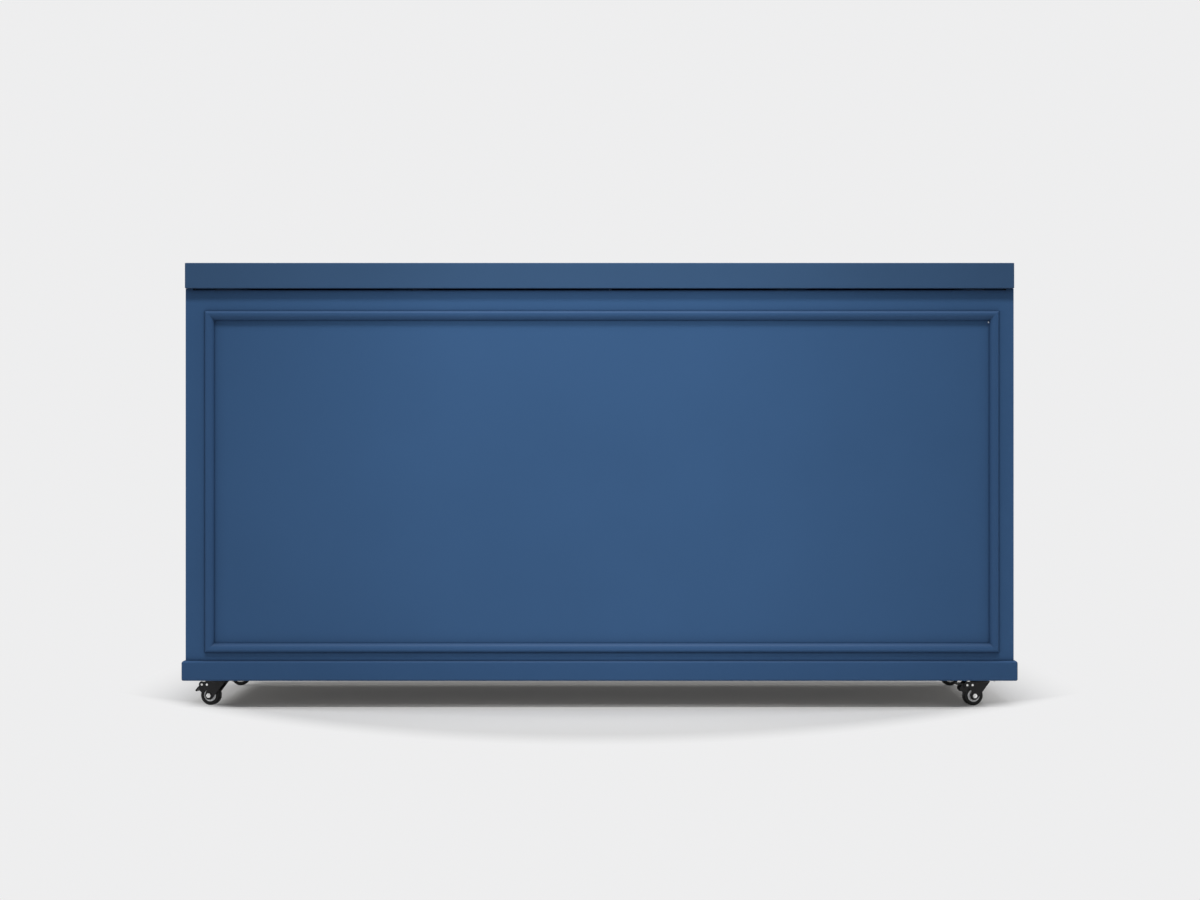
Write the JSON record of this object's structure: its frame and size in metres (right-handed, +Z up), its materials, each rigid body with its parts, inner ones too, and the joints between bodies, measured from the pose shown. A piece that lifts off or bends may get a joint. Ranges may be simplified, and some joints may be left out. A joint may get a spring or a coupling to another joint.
{
  "type": "bar counter",
  "caption": "Mobile bar counter: thick square slab on a panelled body with a plinth, open at the rear with shelves, on braked swivel casters.",
  "frame": {"origin": "on the floor, under the middle of the counter", "axes": "+Z up, +X along the counter to the right as guests see it, +Y from the guests to the bartender"},
  "size_m": [2, 0.62, 1.065],
  "materials": {
    "blue_paint": "satin paint",
    "inside_paint": "matt paint",
    "black_steel": "satin black",
    "bright_zinc": "zinc plated",
    "grey_hub": "moulded",
    "black_tyre": "matt"
  },
  "bodies": {
    "counter": {"top_front_lipping": "blue_paint", "top_rear_lipping": "blue_paint", "top_left_lipping": "blue_paint", "top_right_lipping": "blue_paint", "top_board": "blue_paint", "front_left_stile": "blue_paint", "front_right_stile": "blue_paint", "front_top_rail": "blue_paint", "front_bottom_rail": "blue_paint", "front_panel": "blue_paint", "front_moulding_top": "blue_paint", "front_moulding_bottom": "blue_paint", "front_moulding_left": "blue_paint", "front_moulding_right": "blue_paint", "left_end_moulding": "blue_paint", "right_end_moulding": "blue_paint", "left_end_panel": "blue_paint", "right_end_panel": "blue_paint", "plinth_front": "blue_paint", "plinth_rear": "blue_paint", "plinth_left": "blue_paint", "plinth_right": "blue_paint", "rear_top_rail": "blue_paint", "rear_bottom_rail": "blue_paint", "base_board": "inside_paint", "centre_divider": "inside_paint", "left_shelf": "inside_paint", "right_shelf": "inside_paint", "shelf_cleats": "inside_paint", "front_stretcher": "inside_paint", "panel_retainers": "inside_paint", "top_battens": "inside_paint", "kingpins": "bright_zinc", "swivel_balls": "bright_zinc", "caster_screws": "bright_zinc", "top_brackets": "bright_zinc", "front_left_caster_plate": "black_steel", "front_right_caster_plate": "black_steel", "rear_left_caster_plate": "black_steel", "rear_right_caster_plate": "black_steel"},
    "front_left_swivel": {"front_left_fork": "black_steel", "front_left_fork_pins": "bright_zinc"},
    "front_left_wheel": {"front_left_wheel_hub": "grey_hub", "front_left_tyre": "black_tyre"},
    "front_left_brake": {"front_left_brake_lever": "black_steel"},
    "front_right_swivel": {"front_right_fork": "black_steel", "front_right_fork_pins": "bright_zinc"},
    "front_right_wheel": {"front_right_wheel_hub": "grey_hub", "front_right_tyre": "black_tyre"},
    "front_right_brake": {"front_right_brake_lever": "black_steel"},
    "rear_left_swivel": {"rear_left_fork": "black_steel", "rear_left_fork_pins": "bright_zinc"},
    "rear_left_wheel": {"rear_left_wheel_hub": "grey_hub", "rear_left_tyre": "black_tyre"},
    "rear_left_brake": {"rear_left_brake_lever": "black_steel"},
    "rear_right_swivel": {"rear_right_fork": "black_steel", "rear_right_fork_pins": "bright_zinc"},
    "rear_right_wheel": {"rear_right_wheel_hub": "grey_hub", "rear_right_tyre": "black_tyre"},
    "rear_right_brake": {"rear_right_brake_lever": "black_steel"}
  },
  "joints": [
    {"name": "front_left_swivel", "type": "hinge", "parent": "counter", "child": "front_left_swivel", "pos_m": [-0.922, -0.233, 0.06], "axis": [0, 0, 1], "continuous": true},
    {"name": "front_left_wheel_spin", "type": "hinge", "parent": "front_left_swivel", "child": "front_left_wheel", "pos_m": [-0.94254, -0.22863, 0.024], "axis": [0.2079, 0.9781, 0], "continuous": true},
    {"name": "front_left_brake_press", "type": "hinge", "parent": "front_left_swivel", "child": "front_left_brake", "pos_m": [-0.96064, -0.22479, 0.05], "axis": [-0.2079, -0.9781, 0], "range_deg": [-50, 0]},
    {"name": "front_right_swivel", "type": "hinge", "parent": "counter", "child": "front_right_swivel", "pos_m": [0.922, -0.233, 0.06], "axis": [0, 0, 1], "continuous": true},
    {"name": "front_right_wheel_spin", "type": "hinge", "parent": "front_right_swivel", "child": "front_right_wheel", "pos_m": [0.90146, -0.23737, 0.024], "axis": [-0.2079, 0.9781, 0], "continuous": true},
    {"name": "front_right_brake_press", "type": "hinge", "parent": "front_right_swivel", "child": "front_right_brake", "pos_m": [0.88336, -0.24121, 0.05], "axis": [0.2079, -0.9781, 0], "range_deg": [0, 50]},
    {"name": "rear_left_swivel", "type": "hinge", "parent": "counter", "child": "rear_left_swivel", "pos_m": [-0.93, 0.233, 0.06], "axis": [0, 0, 1], "continuous": true},
    {"name": "rear_left_wheel_spin", "type": "hinge", "parent": "rear_left_swivel", "child": "rear_left_wheel", "pos_m": [-0.95092, 0.23483, 0.024], "axis": [0.0872, 0.9962, 0], "continuous": true},
    {"name": "rear_left_brake_press", "type": "hinge", "parent": "rear_left_swivel", "child": "rear_left_brake", "pos_m": [-0.96935, 0.23644, 0.05], "axis": [-0.0872, -0.9962, 0], "range_deg": [0, 50]},
    {"name": "rear_right_swivel", "type": "hinge", "parent": "counter", "child": "rear_right_swivel", "pos_m": [0.93, 0.233, 0.06], "axis": [0, 0, 1], "continuous": true},
    {"name": "rear_right_wheel_spin", "type": "hinge", "parent": "rear_right_swivel", "child": "rear_right_wheel", "pos_m": [0.90912, 0.23081, 0.024], "axis": [-0.1045, 0.9945, 0], "continuous": true},
    {"name": "rear_right_brake_press", "type": "hinge", "parent": "rear_right_swivel", "child": "rear_right_brake", "pos_m": [0.89072, 0.22887, 0.05], "axis": [0.1045, -0.9945, 0], "range_deg": [0, 50]}
  ]
}
